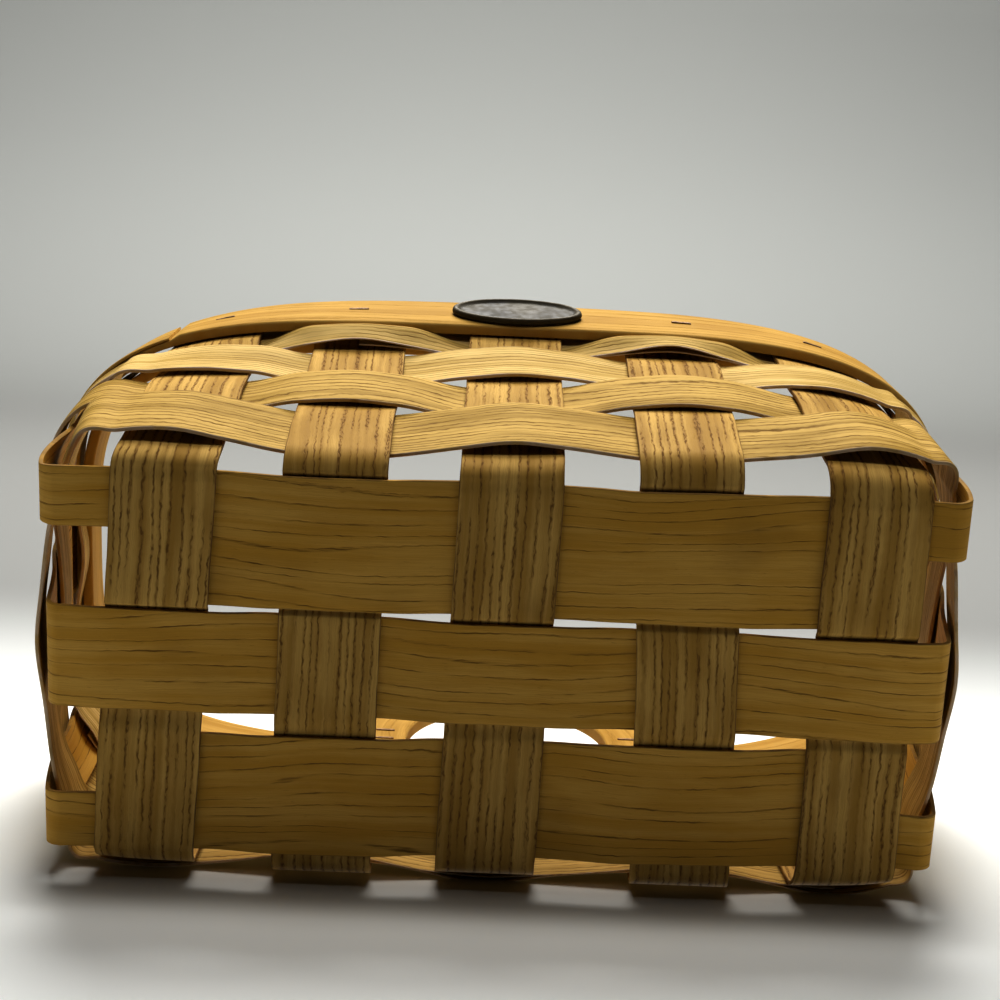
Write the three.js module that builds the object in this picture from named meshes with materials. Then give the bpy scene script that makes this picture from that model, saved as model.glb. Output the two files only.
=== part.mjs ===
// A small ash splint basket, woven over and under, with a bentwood rim and a hanging loop.
// Millimetres, +Z up through the mouth, X along the length, the plate faces -Y.
// The origin lies under the middle of the bottom, on the surface that the basket stands on.

import * as THREE from 'three';

// Splints
const stakeThick = 1.1;
const weaverThick = 1.0;
const splintGap = 0.35; // air between two splints that cross
const crossWidth = 25.4;
const crossPitch = 43.8;
const crossNudge = [2.0, 1.4, 0, 3.1, 3.4]; // hand-set places are never quite even
const crossSkew = [-5.4, -1.6, -2.2, 4.2, 0.4]; // nor are they square, by this much over 100
const crossLean = [1.8, 0.8, 0.8, 0.7, -4.8]; // drift along the wall, from foot to rim
const longWidths = [34.2, 26.8, 32.4]; // front, middle, back
const endWidths = [15.3, 26.8, 15.0]; // up the end walls, where the wide ones are cut down
const longGaps = [1.9, 4.8]; // open slots between them
const longShift = 0.15;
const longSkew = [0, 0.4, -1.2]; // over 100

// Walls
const bottomHalfLength = 112; // to the middle of the wall, where it would meet the bottom
const bottomHalfWidth = 56.6;
const endFlare = 5.4; // degrees, from foot to rim
const sideFlare = 6.8;
const endBow = 1.9; // how far the end walls swell out between foot and rim
const endBendRadius = 4; // where the lengthwise splints turn up the end walls
const sideBendRadius = 7.4;
// Each corner of the outline has its own exponent: front left, front right, back right, back left.
const lowSquareness = [8.5, 14, 12, 14]; // at the bends
const rimSquareness = [3.2, 3.6, 3.6, 3.6]; // at the rim, where the corners are long sweeps
const cornerDelay = [1.5, 0.9, 0.9, 0.9]; // how late they soften on the way up
const longFan = 1.09; // the end walls' splints spread by this much towards the rim

// Weavers, from the bottom up
const weaverWidths = [26.1, 21.2, 18.3, 16.0];
const firstWeaverZ = 8.5;
const weaverRowGap = 0.4;
const weaverTuck = 8.6; // how far the top weaver reaches up between the hoops
const weaverCrown = 2.3; // how far a weaver's middle stands off the wall's middle over a stake
const lapPost = [6, 7, 8, 15]; // where each weaver starts, outside a post; posts are counted below
const lapPosts = 4; // its end crosses this many posts again
const lapThick = 0.45; // both ends are shaved
const lapGap = 0.25;

// Rim
const hoopHeight = 19;
const hoopThick = 3.0;
const hoopGap = 0.5;
const hoopArris = 0.7;
const hoopLap = 62;
const hoopShoulder = 3; // where a scarf runs out to the full thickness
const featherThick = 0.7;
const outerLapAt = 0.766; // share of the way round, from the middle of the front
const innerLapAt = 0.33;
const stakeBelowRim = 1.6;
const pressRun = 8; // the height over which stakes give way below the hoops

// Hanging loop
const loopWidth = 13;
const loopThick = 4.5;
const loopHalfInner = 30;
const loopShift = 5.3;
const loopSpring = 11.7; // below the rim, where the straight tails end
const loopArchHeight = 40; // inside, above that height
const loopTail = 22;
const loopArris = 1.0;

// Plate and staples
const plateLength = 36.4;
const plateHeight = 17.6;
const plateThick = 1.6;
const plateBorder = 1.3;
const plateShift = 2.3;
const plateDrop = 0.5;
const stapleCrown = 6.2;
const stapleWire = [1.1, 0.55];
const stapleGap = 0.12;

// Finishes
const ashDark = 0x8a6c3c;
const ashLight = 0xc79a52;
const ashRim = 0xd39f4f;
const pewter = 0x6d675a;
const wire = 0x6a5238;

const rad = THREE.MathUtils.degToRad;
const midZ = stakeThick + splintGap / 2;
const bottomWave = (stakeThick + splintGap) / 2;
const crossings = (stakeThick + weaverThick) / 2 + splintGap;
const crossX = crossNudge.map((nudge, i) => (i - 2) * crossPitch + nudge);
const longY = layLongSplints();
const endY = longY.map((y, i) => y + (i - 1) * (longWidths[i] - endWidths[i]) / 2);
const weaverLowZ = stackWeavers();
const hoopLowZ = weaverLowZ[weaverWidths.length] - weaverRowGap - weaverTuck;
const rimHeight = hoopLowZ + hoopHeight;
const loopSpringZ = rimHeight - loopSpring;
const rimPress = crossings / 2 - 0.05; // how far stakes and the top weaver give way at the rim
const pressFrom = hoopLowZ - pressRun;
const hoopSeat = stakeThick / 2 + rimPress + hoopGap;
const hoopFaceOffset = hoopSeat + hoopThick;
const loopSeat = hoopFaceOffset + hoopGap;
const endWall = { half: bottomHalfLength, bend: endBendRadius, flare: endFlare, bow: endBow };
const sideWall = { half: bottomHalfWidth, bend: sideBendRadius, flare: sideFlare, bow: 0 };

function layLongSplints() {
  const total = longWidths[0] + longGaps[0] + longWidths[1] + longGaps[1] + longWidths[2];
  const front = -total / 2 + longShift;
  const middle = front + longWidths[0] + longGaps[0];
  const back = middle + longWidths[1] + longGaps[1];
  return [front + longWidths[0] / 2, middle + longWidths[1] / 2, back + longWidths[2] / 2];
}

// The lower edge of each weaver, and of one more that would follow the last.
function stackWeavers() {
  const edges = [firstWeaverZ];
  for (const width of weaverWidths) {
    edges.push(edges.at(-1) + width + weaverRowGap);
  }
  return edges;
}

// Where a splint's middle runs across the bottom.

function crossAt(index, y) {
  return crossX[index] + (crossSkew[index] * y) / 100;
}

function longAt(index, x) {
  return longY[index] + (longSkew[index] * x) / 100;
}

// The wall's middle surface. A reach is a half length or half width at a height.

function footSlope({ flare, bow }) {
  return Math.atan(Math.tan(rad(flare)) + (bow * Math.PI) / rimHeight);
}

function bendTop(wall) {
  return midZ + wall.bend * (1 - Math.sin(footSlope(wall)));
}

function reach(z, wall) {
  const swell = (h) => wall.bow * Math.sin((Math.PI * h) / rimHeight);
  const above = (h) => wall.half + h * Math.tan(rad(wall.flare)) + swell(h);
  const top = bendTop(wall);
  if (z >= top) {
    return above(z);
  }
  const centre = above(top) - wall.bend * Math.cos(footSlope(wall));
  const turn = Math.acos(THREE.MathUtils.clamp(1 - (z - midZ) / wall.bend, -1, 1));
  return centre + wall.bend * Math.sin(turn);
}

function squareness(z, corner) {
  const low = bendTop(endWall);
  const t = Math.pow(THREE.MathUtils.clamp((z - low) / (rimHeight - low), 0, 1), cornerDelay[corner]);
  return 1 / THREE.MathUtils.lerp(1 / lowSquareness[corner], 1 / rimSquareness[corner], t);
}

function cornerOf(x, y) {
  if (y < 0) {
    return x < 0 ? 0 : 1;
  }
  return x < 0 ? 3 : 2;
}

function shapeAt(z, x, y) {
  return { a: reach(z, endWall), b: reach(z, sideWall), n: squareness(z, cornerOf(x, y)) };
}

function wallX(y, z, side) {
  const { a, b, n } = shapeAt(z, side, y);
  return side * a * Math.pow(1 - Math.pow(Math.abs(y) / b, n), 1 / n);
}

function wallY(x, z, side) {
  const { a, b, n } = shapeAt(z, x, side);
  return side * b * Math.pow(1 - Math.pow(Math.abs(x) / a, n), 1 / n);
}

// The outline at one height, measured along its own length from the middle of the front.
class Outline {
  constructor(z) {
    const steps = 1440;
    this.z = z;
    this.corners = [shapeAt(z, -1, -1), shapeAt(z, 1, -1), shapeAt(z, 1, 1), shapeAt(z, -1, 1)];
    this.points = [];
    this.lengths = [];
    let run = 0;
    for (let i = 0; i <= steps; i += 1) {
      const angle = (i / steps) * Math.PI * 2 - Math.PI / 2;
      const c = Math.cos(angle);
      const s = Math.sin(angle);
      const { a, b, n } = this.corners[cornerOf(c, s)];
      const k = Math.pow(Math.pow(Math.abs(c) / a, n) + Math.pow(Math.abs(s) / b, n), -1 / n);
      const point = new THREE.Vector2(c * k, s * k);
      if (i > 0) {
        run += point.distanceTo(this.points[i - 1]);
      }
      this.points.push(point);
      this.lengths.push(run);
    }
    this.total = run;
  }

  // Point and outward normal at a distance along the outline.
  at(distance) {
    const s = THREE.MathUtils.euclideanModulo(distance, this.total);
    let low = 0;
    let high = this.lengths.length - 1;
    while (high - low > 1) {
      const mid = (low + high) >> 1;
      if (this.lengths[mid] > s) {
        high = mid;
      } else {
        low = mid;
      }
    }
    const span = this.lengths[high] - this.lengths[low];
    const point = this.points[low].clone().lerp(this.points[high], (s - this.lengths[low]) / span);
    const { a, b, n } = this.corners[cornerOf(point.x, point.y)];
    const gx = (Math.sign(point.x) * Math.pow(Math.abs(point.x) / a, n - 1)) / a;
    const gy = (Math.sign(point.y) * Math.pow(Math.abs(point.y) / b, n - 1)) / b;
    return { point, normal: new THREE.Vector2(gx, gy).normalize() };
  }

  // Distance along the outline of the point nearest to a given one.
  distanceOf(x, y) {
    const target = new THREE.Vector2(x, y);
    let best = 1;
    for (let i = 1; i < this.points.length; i += 1) {
      if (this.points[i].distanceTo(target) < this.points[best].distanceTo(target)) {
        best = i;
      }
    }
    const along = this.points[best].clone().sub(this.points[best - 1]).normalize();
    return this.lengths[best] + target.sub(this.points[best]).dot(along);
  }

  place(distance, offset) {
    const { point, normal } = this.at(distance);
    return new THREE.Vector3(point.x + normal.x * offset, point.y + normal.y * offset, this.z);
  }
}

const outlines = new Map();

function outlineAt(z) {
  const key = z.toFixed(4);
  if (!outlines.has(key)) {
    outlines.set(key, new Outline(z));
  }
  return outlines.get(key);
}

// The sixteen places where a stake stands in the wall, anticlockwise from the middle of the front.
const posts = [
  ...[2, 3, 4].map((i) => ({ across: true, index: i, side: -1 })),
  ...[0, 1, 2].map((i) => ({ across: false, index: i, side: 1 })),
  ...[4, 3, 2, 1, 0].map((i) => ({ across: true, index: i, side: 1 })),
  ...[2, 1, 0].map((i) => ({ across: false, index: i, side: -1 })),
  ...[0, 1].map((i) => ({ across: true, index: i, side: -1 })),
];

function postWidth(post) {
  return post.across ? crossWidth : endWidths[post.index];
}

function postDistance(post, z) {
  const outline = outlineAt(z);
  if (post.across) {
    const foot = crossAt(post.index, post.side * bottomHalfWidth);
    const x = foot + (crossLean[post.index] * z) / rimHeight;
    return outline.distanceOf(x, wallY(x, z, post.side));
  }
  const foot = endY[post.index] + (longSkew[post.index] * post.side * bottomHalfLength) / 100;
  const y = foot * THREE.MathUtils.lerp(1, longFan, z / rimHeight);
  return outline.distanceOf(wallX(y, z, post.side), y);
}

const postTable = new Map();

function postDistances(z) {
  const key = z.toFixed(4);
  if (!postTable.has(key)) {
    const distances = posts.map((post) => postDistance(post, z));
    if (distances[0] > distances[1]) {
      distances[0] -= outlineAt(z).total;
    }
    postTable.set(key, distances);
  }
  return postTable.get(key);
}

// Stakes give way a little between the hoops, so that the rim closes on them.
function rimLean(z) {
  return THREE.MathUtils.smoothstep(z, pressFrom, hoopLowZ) * rimPress;
}

// One row of weaving is outside a post where the sum of their numbers is even.
function rowSide(row, postNumber) {
  return (row + postNumber) % 2 === 0 ? 1 : -1;
}

function stakeOffset(postNumber, z) {
  return -rowSide(3, postNumber) * rimLean(z);
}

// A closed solid through rings of points, capped at its first and last ring.
function loft(rings) {
  const count = rings[0].length;
  const faces = [];
  for (let i = 0; i + 1 < rings.length; i += 1) {
    const here = i * count;
    const next = here + count;
    for (let j = 0; j < count; j += 1) {
      const k = (j + 1) % count;
      faces.push([here + j, here + k, next + k], [here + j, next + k, next + j]);
    }
  }
  faces.push(...capFaces(count, 0, false));
  faces.push(...capFaces(count, (rings.length - 1) * count, true));
  return solid(rings.flat(), faces);
}

// Ends are closed in strips, which suits a section that is wide and thin.
function capFaces(count, start, flip) {
  const faces = [];
  let low = 0;
  let high = count - 1;
  while (high - low > 1) {
    faces.push([start + low, start + high, start + low + 1]);
    low += 1;
    if (high - low > 1) {
      faces.push([start + low, start + high, start + high - 1]);
      high -= 1;
    }
  }
  return flip ? faces.map(([a, b, c]) => [a, c, b]) : faces;
}

function solid(points, faces) {
  let volume = 0;
  const cross = new THREE.Vector3();
  for (const [a, b, c] of faces) {
    volume += points[a].dot(cross.crossVectors(points[b], points[c]));
  }
  const turned = volume < 0 ? faces.map(([a, b, c]) => [a, c, b]) : faces;
  const geometry = new THREE.BufferGeometry();
  geometry.setAttribute('position', new THREE.Float32BufferAttribute(points.flatMap((p) => p.toArray()), 3));
  geometry.setIndex(turned.flat());
  geometry.computeVertexNormals();
  return geometry;
}

// A stake, as stations from rim to rim. Each station holds the middle line of the
// splint in several columns, more where the wall is curved, and the way its outer face looks.

const flatColumns = [-0.5, 0, 0.5];
const cornerColumns = [-0.5, -0.25, 0, 0.25, 0.5];

function columnsOf(across, index) {
  return across || index === 1 ? flatColumns : cornerColumns;
}

function wallStation(postNumber, z, mirrored) {
  const post = posts[postNumber];
  const outline = outlineAt(z);
  const middle = postDistances(z)[postNumber];
  const offset = stakeOffset(postNumber, z);
  const columns = columnsOf(post.across, post.index);
  const order = mirrored ? [...columns].reverse() : columns;
  const station = order.map((share) => {
    const distance = middle + share * postWidth(post);
    const { normal } = outline.at(distance);
    return { centre: outline.place(distance, offset), out: new THREE.Vector3(normal.x, normal.y, 0) };
  });
  return post.across ? station : squareUp(station, post.side, z);
}

// The lengthwise splints fold up square, and only further up do they follow the corners round.
function squareUp(station, side, z) {
  const square = 1 - THREE.MathUtils.smoothstep(z, bendTop(endWall), weaverLowZ[1] - 2);
  const furthest = Math.max(...station.map(({ centre }) => Math.abs(centre.x)));
  return station.map(({ centre, out }) => ({
    centre: new THREE.Vector3(THREE.MathUtils.lerp(centre.x, side * furthest, square), centre.y, centre.z),
    out: out.clone().lerp(new THREE.Vector3(side, 0, 0), square).normalize(),
  }));
}

// The fold itself is straight across, whatever the corner does above it.
function bendStation(top, post, turn) {
  const wall = post.across ? sideWall : endWall;
  const furthest = Math.max(...top.map(({ centre }) => Math.abs(centre.y)));
  const square = 1 - turn / (90 - THREE.MathUtils.radToDeg(footSlope(wall)));
  const drop = wall.bend * (Math.cos(rad(turn)) - Math.sin(footSlope(wall)));
  const back = wall.bend * (Math.cos(footSlope(wall)) - Math.sin(rad(turn)));
  return top.map(({ centre, out }) => {
    const point = centre.clone();
    if (post.across) {
      point.y += post.side * ((furthest - Math.abs(centre.y)) * square - back);
    } else {
      point.x -= post.side * back;
    }
    point.z = centre.z - drop;
    const look = out.clone().multiplyScalar(Math.sin(rad(turn)));
    look.z = -Math.cos(rad(turn));
    return { centre: point, out: look };
  });
}

// The cut says how far a lengthwise splint is narrowed there, from 0 to 1.
function bottomStation(across, index, along, lift, cut = 0) {
  const width = across ? crossWidth : THREE.MathUtils.lerp(longWidths[index], endWidths[index], cut);
  const narrowed = cut * (endY[index] - longY[index]);
  const middle = across ? crossAt(index, along) : longAt(index, along) + narrowed;
  const columns = columnsOf(across, index);
  return columns.map((share) => {
    const side = middle + share * width;
    const z = midZ + lift * bottomWave;
    const point = across ? new THREE.Vector3(side, along, z) : new THREE.Vector3(along, side, z);
    return { centre: point, out: new THREE.Vector3(0, 0, -1) };
  });
}

// Over and under across the bottom: flat where two splints cross, easing between. The wide
// lengthwise splints are cut down under the outer half of the last cross splints.
function bottomRun(across, index) {
  const middles = across
    ? longY.map((_, i) => longAt(i, crossX[index]))
    : crossX.map((_, i) => crossAt(i, longY[index]));
  const widths = across ? longWidths : crossX.map(() => crossWidth);
  const stations = [];
  for (let i = 0; i < middles.length; i += 1) {
    const lift = (i + index) % 2 === (across ? 0 : 1) ? -1 : 1;
    const start = middles[i] - widths[i] / 2;
    const end = middles[i] + widths[i] / 2;
    const last = middles.length - 1;
    stations.push(bottomStation(across, index, start, lift, i === 0 ? 1 : 0));
    if (!across && (i === 0 || i === last)) {
      stations.push(bottomStation(across, index, middles[i], lift));
    }
    stations.push(bottomStation(across, index, end, lift, i === last ? 1 : 0));
    if (i + 1 < middles.length) {
      const next = middles[i + 1] - widths[i + 1] / 2;
      const steps = next - end > 8 ? 4 : 1;
      for (let k = 1; k < steps; k += 1) {
        const t = k / steps;
        stations.push(bottomStation(across, index, THREE.MathUtils.lerp(end, next, t), lift * Math.cos(t * Math.PI)));
      }
    }
  }
  return stations;
}

function wallHeights(lowZ) {
  const highZ = rimHeight - stakeBelowRim;
  const steps = 6;
  const rows = [];
  for (let i = 0; i <= steps; i += 1) {
    rows.push(THREE.MathUtils.lerp(lowZ, pressFrom, i / steps));
  }
  return [...rows, (pressFrom + hoopLowZ) / 2, hoopLowZ, (hoopLowZ + highZ) / 2, highZ];
}

function stakeUp(postNumber, mirrored) {
  const post = posts[postNumber];
  const low = bendTop(post.across ? sideWall : endWall);
  const wall = wallHeights(low).map((z) => wallStation(postNumber, z, mirrored));
  const bends = [15, 33, 51, 69].map((turn) => bendStation(wall[0], post, turn));
  return [...bends, ...wall];
}

function stakeSolid(stations) {
  const rings = stations.map((station) => {
    const outer = station.map(({ centre, out }) => centre.clone().addScaledVector(out, stakeThick / 2));
    const inner = station.map(({ centre, out }) => centre.clone().addScaledVector(out, -stakeThick / 2));
    return [...outer, ...inner.reverse()];
  });
  return loft(rings);
}

function findPost(across, index, side) {
  return posts.findIndex((p) => p.across === across && p.index === index && p.side === side);
}

function makeStake(across, index) {
  const first = stakeUp(findPost(across, index, -1), !across);
  const second = stakeUp(findPost(across, index, 1), across);
  return stakeSolid([...first.reverse(), ...bottomRun(across, index), ...second]);
}

// A weaver: a band that passes outside and inside the posts in turn. It starts outside a post,
// and after its round the end goes over the start and is tucked in behind the last post.

const lastStep = posts.length + lapPosts - 1;

// How far a station belongs to the first layer of the lap (-1) or to the last (1).
function lapLayer(step) {
  const first = 1 - THREE.MathUtils.clamp(step - (lapPosts - 1), 0, 1);
  const last = 1 - THREE.MathUtils.clamp(posts.length - step, 0, 1);
  return last - first;
}

// Cubic between two values with given slopes.
function ease(from, to, slopeFrom, slopeTo, span, t) {
  const t2 = t * t;
  const t3 = t2 * t;
  return (
    (2 * t3 - 3 * t2 + 1) * from +
    (t3 - 2 * t2 + t) * slopeFrom * span +
    (3 * t2 - 2 * t3) * to +
    (t3 - t2) * slopeTo * span
  );
}

// Where a row meets the post of one step of its round: the distances of the post's edges,
// and the offsets from the wall at the edge and at the middle.
function crossing(row, step, z, crown) {
  const number = (lapPost[row] + step) % posts.length;
  const turns = Math.floor((lapPost[row] + step) / posts.length);
  const centre = postDistances(z)[number] + turns * outlineAt(z).total;
  const half = postWidth(posts[number]) / 2;
  const side = rowSide(row, number);
  const slope = (1.25 * side * (crown - crossings)) / half;
  return { centre, half, edge: side * crossings, middle: side * crown, slope, post: posts[number] };
}

// The stations of one row at one height: distance along the outline, offset, and step.
function weaveLine(row, z, crown) {
  const line = [];
  for (let step = 0; step <= lastStep; step += 1) {
    const here = crossing(row, step, z, crown);
    const { centre, half, edge, middle, slope } = here;
    const quarter = ease(edge, middle, slope, 0, half, 0.5);
    if (step > 0) {
      line.push({ s: centre - half, o: edge, step }, { s: centre - half / 2, o: quarter, step });
    }
    line.push({ s: centre, o: middle, step });
    if (step < lastStep) {
      line.push({ s: centre + half / 2, o: quarter, step }, { s: centre + half, o: edge, step });
      line.push(...gapStations(here, crossing(row, step + 1, z, crown), step));
    }
  }
  return line;
}

function gapStations(here, next, step) {
  const from = here.centre + here.half;
  const to = next.centre - next.half;
  const steps = here.post.across === next.post.across ? 3 : 6;
  const stations = [];
  for (let k = 1; k < steps; k += 1) {
    const t = k / steps;
    const o = ease(here.edge, next.edge, -here.slope, next.slope, to - from, t);
    stations.push({ s: THREE.MathUtils.lerp(from, to, t), o, step: step + t });
  }
  return stations;
}

function weaverHeights(row) {
  const low = weaverLowZ[row];
  const high = low + weaverWidths[row];
  const between = row === 0 ? (low + high) / 2 : hoopLowZ;
  return [low, ...[between].filter((z) => z > low + 1 && z < high - 1), high];
}

function makeWeaver(row) {
  const heights = weaverHeights(row);
  const lines = heights.map((z) => weaveLine(row, z, rowCrown(row, z)));
  const rings = lines[0].map((_, i) => {
    const outer = heights.map((z, k) => weaverPoint(row, z, lines[k][i], 1));
    const inner = heights.map((z, k) => weaverPoint(row, z, lines[k][i], -1));
    return [...outer, ...inner.reverse()];
  });
  return loft(rings);
}

// The top weaver stands off less where the hoops hold it, and gives way as the stakes do.
function rowCrown(row, z) {
  const held = THREE.MathUtils.smoothstep(z, pressFrom, hoopLowZ);
  return THREE.MathUtils.lerp(weaverCrown, crossings + 0.02, row === 3 ? held : 0);
}

function weaverPoint(row, z, { s, o, step }, skin) {
  const layer = lapLayer(step);
  const thick = THREE.MathUtils.lerp(weaverThick, lapThick, Math.abs(layer));
  const shift = (layer * (lapThick + lapGap)) / 2;
  const lean = row === 3 ? rimLean(z) * THREE.MathUtils.clamp(o / crossings, -1, 1) : 0;
  return outlineAt(z).place(s, o - lean + shift + (skin * thick) / 2);
}

// A hoop: a milled strip bent round the rim, its ends cut to a long scarf and lapped.

function makeHoop(outside, lapAt) {
  const low = outlineAt(hoopLowZ);
  const high = outlineAt(rimHeight);
  const way = outside ? 1 : -1;
  const near = way * hoopSeat;
  const far = near + way * hoopThick;
  const lap = hoopLap / high.total;
  const rings = hoopShares(lap, hoopShoulder / high.total).map((share) =>
    hoopSection(low, high, lapAt + share, scarf(near, far, share, lap))
  );
  return loft(rings);
}

function hoopShares(lap, shoulder) {
  const shares = [];
  for (let i = 0; i <= 6; i += 1) {
    shares.push((lap * i) / 6);
  }
  for (let i = 0; i <= 84; i += 1) {
    shares.push(THREE.MathUtils.lerp(lap + shoulder, 1 - shoulder, i / 84));
  }
  for (let i = 0; i <= 6; i += 1) {
    shares.push(1 + (lap * i) / 6);
  }
  return shares;
}

// The strip's near and far faces, measured from the wall, at a share of the way round.
function scarf(near, far, share, lap) {
  const wedge = (t) => THREE.MathUtils.lerp(featherThick, hoopThick - featherThick - lapGap, t);
  const way = Math.sign(far - near);
  if (share <= lap) {
    return [near, near + way * wedge(share / lap)];
  }
  if (share < 1) {
    return [near, far];
  }
  return [near + way * (wedge((share - 1) / lap) + lapGap), far];
}

function hoopSection(low, high, share, [near, far]) {
  const cut = Math.min(hoopArris, Math.abs(far - near) / 3);
  const way = Math.sign(far - near);
  const rise = (z) => (z - hoopLowZ) / hoopHeight;
  const spot = (offset, z) => {
    const a = low.place(share * low.total, offset);
    const b = high.place(share * high.total, offset);
    return a.lerp(b, rise(z));
  };
  return [
    spot(near, hoopLowZ),
    spot(far - way * cut, hoopLowZ),
    spot(far, hoopLowZ + cut),
    spot(far, rimHeight - cut),
    spot(far - way * cut, rimHeight),
    spot(near, rimHeight),
  ];
}

// The hanging loop: a squared bentwood bow whose tails lie on the inner hoop.

function loopPath() {
  const half = loopHalfInner + loopWidth / 2;
  const high = loopArchHeight + loopWidth / 2;
  const path = [];
  const tailSteps = [0, 0.14, 1];
  for (const t of tailSteps) {
    path.push({ x: -half, h: loopSpringZ - loopTail * (1 - t) });
  }
  const steps = 22;
  for (let i = 1; i < steps; i += 1) {
    const angle = Math.PI * (1 - i / steps);
    path.push({ x: half * Math.cos(angle), h: loopSpringZ + high * Math.sin(angle) });
  }
  for (const t of [...tailSteps].reverse()) {
    path.push({ x: half, h: loopSpringZ - loopTail * (1 - t) });
  }
  return path;
}

// The bow is flat. It leans with the back wall, and its tails' outer edges touch the curved hoop.
const tailEdge = loopHalfInner + loopWidth + Math.abs(loopShift);
const loopLowY = wallY(tailEdge, hoopLowZ, 1);
const loopLean = Math.atan((wallY(tailEdge, rimHeight, 1) - loopLowY) / hoopHeight);

function loopPoint(x, z, inward) {
  return new THREE.Vector3(x + loopShift, loopLowY + (z - hoopLowZ) * Math.tan(loopLean) - inward, z);
}

function makeLoop() {
  const path = loopPath();
  const rings = path.map((spot, i) => {
    const before = path[Math.max(0, i - 1)];
    const after = path[Math.min(path.length - 1, i + 1)];
    const along = new THREE.Vector2(after.x - before.x, after.h - before.h).normalize();
    const side = new THREE.Vector2(-along.y, along.x);
    const end = i === 0 || i === path.length - 1;
    return loopSection(spot, side, (loopWidth / 2) * (end ? 0.72 : 1), loopThick * (end ? 0.6 : 1));
  });
  return loft(rings);
}

function loopSection(spot, side, halfWidth, thick) {
  const cut = Math.min(loopArris, thick / 3);
  const corners = [
    [-halfWidth, cut],
    [-halfWidth, thick - cut],
    [-halfWidth + cut, thick],
    [halfWidth - cut, thick],
    [halfWidth, thick - cut],
    [halfWidth, cut],
    [halfWidth - cut, 0],
    [-halfWidth + cut, 0],
  ];
  return corners.map(([w, t]) => loopPoint(spot.x + side.x * w, spot.h + side.y * w, loopSeat + t));
}

// The plate: an oval casting with a raised border round a bare field.

function makePlate() {
  const r = plateLength / 2;
  const profile = [
    [0, 0],
    [r - 0.5, 0],
    [r, 0.5],
    [r, plateThick - 0.4],
    [r - 0.4, plateThick],
    [r - plateBorder, plateThick],
    [r - plateBorder - 0.5, plateThick - 0.45],
    [r * 0.5, plateThick - 0.3],
    [0, plateThick - 0.2],
  ].map(([x, y]) => new THREE.Vector2(x, y));
  const geometry = new THREE.LatheGeometry(profile, 40);
  geometry.rotateX(Math.PI / 2);
  geometry.scale(1, plateHeight / plateLength, 1);
  return geometry;
}

function hoopFace(distanceShare, height) {
  const low = outlineAt(hoopLowZ);
  const high = outlineAt(rimHeight);
  const rise = (height - hoopLowZ) / hoopHeight;
  const a = low.place(distanceShare * low.total, hoopFaceOffset);
  const b = high.place(distanceShare * high.total, hoopFaceOffset);
  const up = b.clone().sub(a).normalize();
  const { normal } = high.at(distanceShare * high.total);
  const along = new THREE.Vector3(-normal.y, normal.x, 0);
  const out = new THREE.Vector3().crossVectors(along, up).normalize();
  return { point: a.lerp(b, rise), along, up, out };
}

// A staple's crown, pressed down at both ends, with the wire's two stubs going in.
function stapleCrownAt(origin, along, up, out) {
  const [wide, thick] = stapleWire;
  const half = stapleCrown / 2;
  const profile = [
    [-half, 0],
    [-half, thick * 0.6],
    [-half + thick, thick],
    [half - thick, thick],
    [half, thick * 0.6],
    [half, 0],
  ];
  const rings = [-0.5, 0.5].map((share) =>
    profile.map(([x, y]) =>
      origin
        .clone()
        .addScaledVector(along, x)
        .addScaledVector(out, y + stapleGap)
        .addScaledVector(up, share * wide)
    )
  );
  return loft(rings);
}

function makeRimStaple(postNumber) {
  const z = hoopLowZ + hoopHeight * 0.55;
  const share = postDistances(z)[postNumber] / outlineAt(z).total;
  const { point, along, up, out } = hoopFace(share, z);
  return stapleCrownAt(point, along, up, out);
}

function makeLoopStaple(side, rise) {
  const along = new THREE.Vector3(1, 0, 0);
  const up = new THREE.Vector3(0, Math.sin(loopLean), Math.cos(loopLean));
  const out = new THREE.Vector3(0, -Math.cos(loopLean), Math.sin(loopLean));
  const x = side * (loopHalfInner + loopWidth / 2);
  const spot = loopPoint(x, hoopLowZ + rise * hoopHeight, loopSeat + loopThick);
  return stapleCrownAt(spot, along, up, out);
}

// Assembly

const group = new THREE.Group();

function add(name, geometry, color, roughness, metalness = 0) {
  const mesh = new THREE.Mesh(geometry, new THREE.MeshStandardMaterial({ color, roughness, metalness }));
  mesh.name = name;
  group.add(mesh);
  return mesh;
}

for (let i = 0; i < crossX.length; i += 1) {
  add(`cross_stake_${i + 1}`, makeStake(true, i), ashDark, 0.6);
}
['front', 'middle', 'back'].forEach((where, i) => {
  add(`long_stake_${where}`, makeStake(false, i), ashDark, 0.6);
});
for (let row = 0; row < weaverWidths.length; row += 1) {
  add(`weaver_${row + 1}`, makeWeaver(row), ashLight, 0.55);
}
add('outer_rim_hoop', makeHoop(true, outerLapAt), ashRim, 0.45);
add('inner_rim_hoop', makeHoop(false, innerLapAt), ashRim, 0.45);
add('hanging_loop', makeLoop(), ashRim, 0.45);

const plate = add('rim_plate', makePlate(), pewter, 0.4, 0.9);
const seat = hoopFace(plateShift / outlineAt(rimHeight).total, hoopLowZ + hoopHeight / 2 - plateDrop);
const plateTurn = new THREE.Matrix4().makeBasis(seat.along, seat.up, seat.out);
plate.quaternion.setFromRotationMatrix(plateTurn);
plate.position.copy(seat.point).addScaledVector(seat.out, hoopGap);

for (let i = 1; i < posts.length; i += 1) {
  add(`rim_staple_${i}`, makeRimStaple(i), wire, 0.5, 0.8);
}
[[-1, 0.3], [-1, 0.7], [1, 0.3], [1, 0.7]].forEach(([side, rise], i) => {
  add(`loop_staple_${i + 1}`, makeLoopStaple(side, rise), wire, 0.5, 0.8);
});

export default group;
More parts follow.
